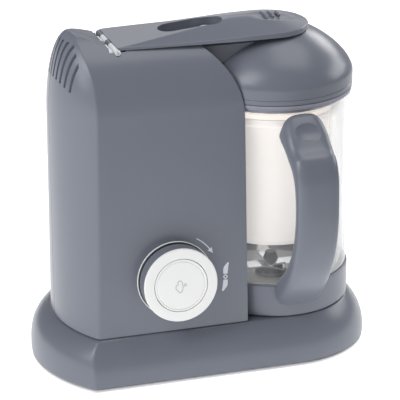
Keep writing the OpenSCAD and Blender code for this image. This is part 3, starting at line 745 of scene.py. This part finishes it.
def lever_rings(o):
    """Cross-sections of the lever from its hinge end to its round end, o inside its skin."""
    rings = []
    stations = [mix(LEVER_X, LEVER_TIP, i / 60) for i in range(61)]
    stations += [LEVER_TIP + LEVER_W * math.sin(math.radians(89 * i / 28)) for i in range(1, 29)]
    for x in stations:
        x = clamp(x, LEVER_X + o, LEVER_TIP + LEVER_W - o)
        half = max(lever_half(x) - o, 0.3)
        ring = [(x, half, LEVER_Z - 2 * o)]
        for i in range(81):
            y = half * math.cos(math.pi * i / 80)
            edge = half - abs(y) if x < LEVER_TIP else LEVER_W - o - math.hypot(x - LEVER_TIP, y)
            turn = clamp(1 - edge / EDGE_R)
            z = lever_top(x, y) - o - EDGE_R * (1 - math.sqrt(1 - turn * turn))
            ring.append((x, y, max(z, LEVER_Z + 0.5 - 2 * o)))
        ring.append((x, -half, LEVER_Z - 2 * o))
        rings.append(ring)
    return rings


SLOT = (-22.7, 7.5)     # centres of the slot's round ends
SLOT_W = 10.0


def slot_outline(x0, x1, w, steps=20):
    out = []
    for i in range(steps + 1):
        a = math.pi / 2 + math.pi * i / steps
        out.append((x0 + w * math.cos(a), w * math.sin(a)))
    for i in range(steps + 1):
        a = -math.pi / 2 + math.pi * i / steps
        out.append((x1 + w * math.cos(a), w * math.sin(a)))
    return out


def make_lever():
    arm = loft("lever", lever_rings(0))
    hollow = loft("hollow", lever_rings(2))
    combine(hollow, [prism("slot_wall", slot_outline(*SLOT, SLOT_W + 2), (240, 280)),
                     block("end_wall", (LEVER_X - 1, -58), (-30, 30), (240, 280))])
    combine(arm, [hollow])
    barrels = []
    for y in ((-8.5, 0), (14, 26)):
        barrels.append(rod_y("barrel", HINGE.x, HINGE.z, KNUCKLE_R, y))
        barrels.append(block("web", (HINGE.x, HINGE.x + KNUCKLE_R), y, (HINGE.z, LEVER_Z + 1)))
    combine(arm, barrels, "UNION")
    cuts = [prism("slot", slot_outline(*SLOT, SLOT_W), (240, 281)),
            rod_y("pin", HINGE.x, HINGE.z, PIN_R, (-40, 40))]
    for y in ((-29.8, -8.7), (0.2, 13.8)):
        cuts.append(rod_y("clear", HINGE.x, HINGE.z, KNUCKLE_R + KNUCKLE_GAP, y))
    combine(arm, cuts)
    soften(crease(arm), 0)
    dress(arm, "lever", shell_grey, ["lever_arm"])
    ridges = []
    for i in range(RIDGES):
        half = 9.0 - 2 * i
        x = 51 + 5.5 * i
        rings = []
        for k in range(25):
            t = 2 * k / 24 - 1
            r = 1.4 * math.sqrt(max(0.02, 1 - t ** 6))
            z = LEVER_CREST - 0.5 - 0.25 * i - 0.014 * (half * t) ** 2
            rings.append([(x + r * math.cos(a), half * t, z + r * math.sin(a)) for a in
                          [2 * math.pi * n / 20 for n in range(20)]])
        ridges.append(loft("thumb_ridges", rings))
    for other in ridges[1:]:
        merge(ridges[0], other)
    soften(ridges[0], 0)
    dress(ridges[0], "lever", shell_grey, ["lever_grip"])


def make_valve():
    """The pale valve cap and its dark latch, seen through the lever's slot."""
    low, high = box_mm("steam_valve")
    x = high.x - 6
    cap = lathe("valve_cap", rounded([
        (0, low.z, 0), (6, low.z, 0.3), (6, high.z - 1.6, 0.6), (4.6, high.z, 0.8),
        (2.6, high.z - 0.6, 0.6), (0, high.z - 0.7, 0)]), x, 0, 64)
    dress(soften(cap, 0), "lid", plate_pale, ["steam_valve"])
    latch = block("valve_latch", (x - 10.4, x - 5.9), (-2.4, 2.4), (low.z, low.z + 5.5))
    dress(soften(latch, 0.6), "lid", inner_dark)


# ---------------------------------------------------------------- lid

DOME_SPRING = 220.0     # where the dome starts to close
DOME_RISE = 39.7        # to its unseen point, above the flat crest
DOME_POWER = 1.57       # 2 would be a round arch, 1 a cone
RIM_H = 2.5


def dome_profile(r, o, steps):
    """From the skirt's top to the flat crest that lies under the lever."""
    out = []
    top = (dome_high.z - o - DOME_SPRING) / (DOME_RISE - o)
    for i in range(steps + 1):
        u = top * math.sin(math.pi / 2 * i / steps)
        out.append(((r - o) * (1 - u ** DOME_POWER) ** (1 / DOME_POWER), DOME_SPRING + (DOME_RISE - o) * u))
    return out


def make_lid():
    """The hollow dome with its groove, the pale rim below it and the steam neck."""
    r = dome_high.x - JUG_X
    z = dome_low.z
    edge = z + RIM_H
    skirt = [(r - 0.5, edge), (r, edge + 0.5), (r, 212.7), (r - 0.3, 212.9), (r - 0.3, 213.3), (r, 213.5)]
    dome = on_jug([(0, edge)] + skirt + dome_profile(r, 0, 40) + [(0, dome_high.z)], "dome_lid", 192)
    rim = on_jug([
        (r - 4, z), (r - 0.7, z), (r - 0.4, z + 0.3), (r - 0.4, edge - 0.5), (r - 1.2, edge - 0.3),
        (r - 1.2, edge), (r - 4, edge)], "lid_rim", 192)
    soften(crease(rim), 0)
    dress(rim, "lid", seal_pale, ["lid_dome"])
    hollow = [(0, z - 2), (r - WALL, z - 2)] + dome_profile(r, WALL, 14) + [(0, dome_high.z - WALL)]
    duct = ((RECESS_X + 4, JUG_X - 12), (-16, 16), (237.5, 247))
    combine(dome, [on_jug(hollow, "hollow", 128), block("duct", *duct)])
    soften(crease(dome), 0)
    dress(dome, "lid", shell_grey, ["lid_dome"])
    neck = block("steam_neck", (RECESS_X + 1.2, JUG_X - 10), (-NECK_W, NECK_W), (235, 250))
    mouth = lathe("mouth", [(0, 230), (15, 230), (15, 240), (0, 240)], BOILER_X, 0, 64)
    combine(neck, [block("duct", *duct), mouth])
    soften(neck, 1.0, 40, 3)
    dress(neck, "lid", shell_grey, ["lid_dome"])


# ---------------------------------------------------------------- jug

def make_jug():
    """The clear jar and the collar under it, with the slots that the lock ring's pegs enter."""
    rim = jar_high.z
    jar = on_jug(rounded([
        (9.1, 47, 0), (55, 47, 1.5), (56.2, 49, 1), (56.2, 63.8, 0.5), (58.5, 64.3, 1.5),
        (57.6, 201.0, 1.0), (60.1, 203.2, 0.7), (60.2, rim, 0.6), (55.2, rim, 0.6), (54.95, 200, 0.8),
        (55.9, 72, 6), (52, 53, 5), (46, 50, 4), (9.1, 50, 0)], 5), "clear_jar", 192)
    soften(jar, 0)
    dress(jar, "jug", jar_clear, ["jar"])
    collar = on_jug(rounded([
        (42, collar_low.z, 0), (COLLAR_R - 1.0, collar_low.z, 0.2),
        (COLLAR_R - 1.0, collar_low.z + 0.7, 0.2), (COLLAR_R, collar_low.z + 0.9, 0.5),
        (COLLAR_R - 0.2, collar_high.z, 0.9), (56.35, collar_high.z, 0.4),
        (56.35, 46.5, 0.5), (50, 46.5, 0), (50, 41.5, 0), (42, 41.5, 0)], 4), "jug_collar", 192)
    slots = []
    for a in (90, 210, 330):
        peg = block("peg", (43, 51), (-5, 5), (30, 44))
        spot = Matrix.Translation((JUG_X * MM, 0, 0)) @ Matrix.Rotation(math.radians(a), 4, "Z")
        slots.append(move_mesh(peg, spot))
    combine(collar, slots)
    soften(collar, 0.2, 40, 2)
    dress(collar, "jug", shell_grey, ["jar_collar"])


# the handle's outer and inner line as (distance from the jug's axis, height), and its width along each
HANDLE_OUT = [(60.3, 202), (65, 199.2), (74, 191), (83.3, 182.3), (91.5, 177.5), (96.8, 170), (99.3, 161),
              (100, 150), (100.3, 138), (99.8, 125), (97, 107), (90, 87.5), (80, 71), (70, 58), (60.6, 48)]
HANDLE_IN = [(60.3, 181), (63.5, 177.8), (70, 173.5), (76, 168), (80.5, 162.5), (83.5, 156), (85.5, 149),
             (86.5, 142), (87, 135), (86.8, 125), (84, 107.5), (76.5, 91.5), (68.5, 81.5), (63.5, 76),
             (60.3, 71)]
HANDLE_FACE = [25, 30, 33.5, 34.4, 34.5, 34.5, 34.5, 34.5, 34.5, 34.5, 34.5, 34.5, 35, 35.5, 36]
HANDLE_BACK = [41, 39, 36.5, 35, 34, 33, 32.5, 32, 32, 32, 32.5, 34, 36.5, 39, 40]
AT_HANDLE = Matrix.Translation((JUG_X * MM, 0, 0)) @ Matrix.Rotation(math.radians(-88), 4, "Z")


def handle_ring(t, steps=56):
    """The handle's cross-section at one place along it: a rounded rectangle, wider on one face."""
    out, inn = spline(HANDLE_OUT, t), spline(HANDLE_IN, t)
    i = min(int(t), len(HANDLE_FACE) - 2)
    face = mix(HANDLE_FACE[i], HANDLE_FACE[i + 1], t - i)
    back = mix(HANDLE_BACK[i], HANDLE_BACK[i + 1], t - i)
    mid, half = (out + inn) / 2, (out - inn) / 2
    ring = []
    for n in range(steps):
        a = 2 * math.pi * n / steps
        c = math.copysign(abs(math.cos(a)) ** 0.6, math.cos(a))
        s = math.copysign(abs(math.sin(a)) ** 0.6, math.sin(a))
        p = mid + half * c
        ring.append((p.x, -s * mix(back, face, (c + 1) / 2) / 2, p.y))
    return ring


def make_handle():
    count = (len(HANDLE_OUT) - 1) * 6
    grip = loft("jug_handle", [handle_ring(i / 6) for i in range(count + 1)])
    dimple = bpy.data.meshes.new("dimple")
    bm = bmesh.new()
    bmesh.ops.create_uvsphere(bm, u_segments=48, v_segments=24, radius=1.0)
    bm.to_mesh(dimple)
    bm.free()
    press = bpy.data.objects.new("dimple", dimple)
    bpy.context.scene.collection.objects.link(press)
    tilt = Matrix.Rotation(math.radians(43), 4, "Y")
    size = Matrix.Diagonal((10.5, 14.5, 4.6, 1)) * MM
    size[3][3] = 1
    move_mesh(press, Matrix.Translation(Vector((75.6, 0, 193.4)) * MM) @ tilt @ size)
    combine(grip, [press])
    move_mesh(grip, AT_HANDLE)
    keep_out = on_jug([
        (0, 30), (COLLAR_R + 0.05, 30), (COLLAR_R + 0.05, 66), (60.25, 66),
        (60.25, 220), (0, 220)], "keep_out", 192)
    combine(grip, [keep_out])
    soften(grip, 0.8, 35, 3)
    dress(grip, "jug", shell_grey, ["handle"])


def make_basket():
    """The steaming basket: a flanged cup with rings of holes in its floor and four ribs outside."""
    low, high = box_mm("steam_basket")
    r = 46.6
    cup = on_jug(rounded([
        (0, low.z + 4, 0), (34, low.z, 3), (r - 2, low.z, 1.2), (r, low.z + 4, 2), (r, high.z - 8, 2),
        (52.4, high.z - 5, 1.5), (52.4, high.z, 0.6), (50.8, high.z, 0.6), (50.6, high.z - 4, 1),
        (r - 1.8, high.z - 7, 1.5), (r - 1.8, low.z + 5, 2), (r - 5, low.z + 2, 1), (34, low.z + 2, 3),
        (0, low.z + 6, 0)], 4), "basket_cup", 160)
    holes = []
    for k in range(1, 4):
        for i in range(6 * k):
            a = math.radians(i * 60 / k)
            x, y = JUG_X + k * 10 * math.cos(a), k * 10 * math.sin(a)
            holes.append(lathe("hole", [(0, 80), (1.7, 80), (1.7, 110), (0, 110)], x, y, 16))
    joined = holes[0]
    for hole in holes[1:]:
        merge(joined, hole)
    combine(cup, [joined])
    ribs = []
    for a in range(42, 402, 90):
        rib = block("rib", (r - 0.6, r + 1.3), (-1.1, 1.1), (100, 186))
        spot = Matrix.Translation((JUG_X * MM, 0, 0)) @ Matrix.Rotation(math.radians(a), 4, "Z")
        ribs.append(move_mesh(rib, spot))
    combine(cup, ribs, "UNION")
    soften(cup, 0.3, 40, 2)
    # basket_cream carries a painted glow, so the cup looks lit through its wall
    dress(cup, "basket", basket_cream, ["steam_basket"])


# ---------------------------------------------------------------- CAD nodes that keep their own shape

def dress_frame():
    """Every node that stays visible gets its slot's material, and small parts get rounded edges."""
    slots = {s["node"]: s["material_slot"] for s in frame["record"]["subparts"]}
    for name, node in frame["nodes"].items():
        node.data.materials.clear()
        look = SLOT_LOOKS[slots[name]]
        if name.startswith("blade_") and slots[name] == "steel":
            look = blade_steel
        node.data.materials.append(look)
        node.data.polygons.foreach_set("use_smooth", [True] * len(node.data.polygons))
        soften(node, 0.25, 35, 2)


# ---------------------------------------------------------------- camera, light, floor

# place in millimetres from the jug's axis at floor level, and the way it looks in degrees
CAMERA_PLACE = (-582.05, -1649.65, 787.2)
CAMERA_AZIMUTH, CAMERA_ELEVATION = -17.61, 21.14
LID_MIDDLE = (0.06, 0, 0.2)
BODY_MIDDLE = (0, 0, 0.13)
# each softbox as name, place, target and size in metres, and power in watts
LIGHTS = [
    ("key_left", (-1.5, -0.35, 1.0), BODY_MIDDLE, (0.5, 1.2), 7.5),
    ("front_left", (-0.95, -0.62, 1.35), BODY_MIDDLE, (0.6, 0.9), 7),
    ("top", (0.4, -0.05, 1.4), BODY_MIDDLE, (0.8, 0.8), 4.5),
    ("side_right", (1.36, 0.19, 0.66), LID_MIDDLE, (1.0, 0.5), 5.5),
    ("rim_right", (1.0, 0.75, 0.8), LID_MIDDLE, (0.42, 0.42), 3),
    ("back", (0.75, 2.0, 1.1), BODY_MIDDLE, (2.0, 0.9), 5),
]
WORLD_STRENGTH = 0.22
FLOOR_HALF = 4000
# the floor's glow is painted light, strongest under the object and fading out to its right
FLOOR_GLOW = 0.7
FADE_WAY = (0.925, -0.38, 0)    # to the right as the camera sees it
FADE_FROM, FADE_TO = 0.2, 0.5   # metres that way from the middle


def make_camera():
    data = bpy.data.cameras.new("camera")
    data.lens = 216
    data.sensor_width = 36
    data.clip_end = 20
    data.dof.use_dof = False
    camera = bpy.data.objects.new("camera", data)
    bpy.context.scene.collection.objects.link(camera)
    x, y, z = CAMERA_PLACE
    camera.location = Vector((JUG_X + x, y, z)) * MM
    camera.rotation_euler = (math.pi / 2 - math.radians(CAMERA_ELEVATION), 0, math.radians(CAMERA_AZIMUTH))
    bpy.context.scene.camera = camera


def area_light(name, place, target, size, power):
    data = bpy.data.lights.new(name, "AREA")
    data.shape = "RECTANGLE"
    data.size, data.size_y = size
    data.energy = power
    light = bpy.data.objects.new(name, data)
    bpy.context.scene.collection.objects.link(light)
    light.location = place
    light.rotation_euler = (Vector(target) - Vector(place)).to_track_quat("-Z", "Y").to_euler()


def make_studio():
    world = bpy.data.worlds.new("studio")
    world.use_nodes = True
    background = world.node_tree.nodes["Background"]
    background.inputs["Color"].default_value = (1, 1, 1, 1)
    background.inputs["Strength"].default_value = WORLD_STRENGTH
    bpy.context.scene.world = world
    for light in LIGHTS:
        area_light(*light)
    corners = [(x * FLOOR_HALF, y * FLOOR_HALF, 0) for x, y in ((-1, -1), (1, -1), (1, 1), (-1, 1))]
    floor = make("floor", corners, [(0, 1, 2, 3)])
    floor.data.materials.append(floor_look())
    bpy.context.scene.view_settings.view_transform = "Standard"


def floor_look():
    """A pale floor whose glow is painted light: white under the object, fading to grey on its right, so
    that side of the object gets less light.
    """
    look = Look("floor", (0.9, 0.9, 0.9), 0.8, Emission_Color=(1, 1, 1, 1))
    look.vary_color(look.noise(3, 2), 0.003)
    across = look.nodes.new("ShaderNodeVectorMath")
    across.operation = "DOT_PRODUCT"
    across.inputs[1].default_value = FADE_WAY
    look.links.new(look.place, across.inputs[0])
    # painted light: the floor's glow falls off towards the object's right, leaving less light there
    fall = look.nodes.new("ShaderNodeMapRange")
    fall.interpolation_type = "SMOOTHSTEP"
    fall.inputs["From Min"].default_value = FADE_FROM
    fall.inputs["From Max"].default_value = FADE_TO
    fall.inputs["To Min"].default_value = FLOOR_GLOW
    fall.inputs["To Max"].default_value = 0.0
    look.links.new(across.outputs["Value"], fall.inputs["Value"])
    look.links.new(fall.outputs["Result"], look.shader.inputs["Emission Strength"])
    return look.material


make_camera()
make_studio()
dress_frame()
make_base()
make_shells()
make_knob()
make_signs()
make_lever()
make_valve()
make_lid()
make_jug()
make_handle()
make_basket()
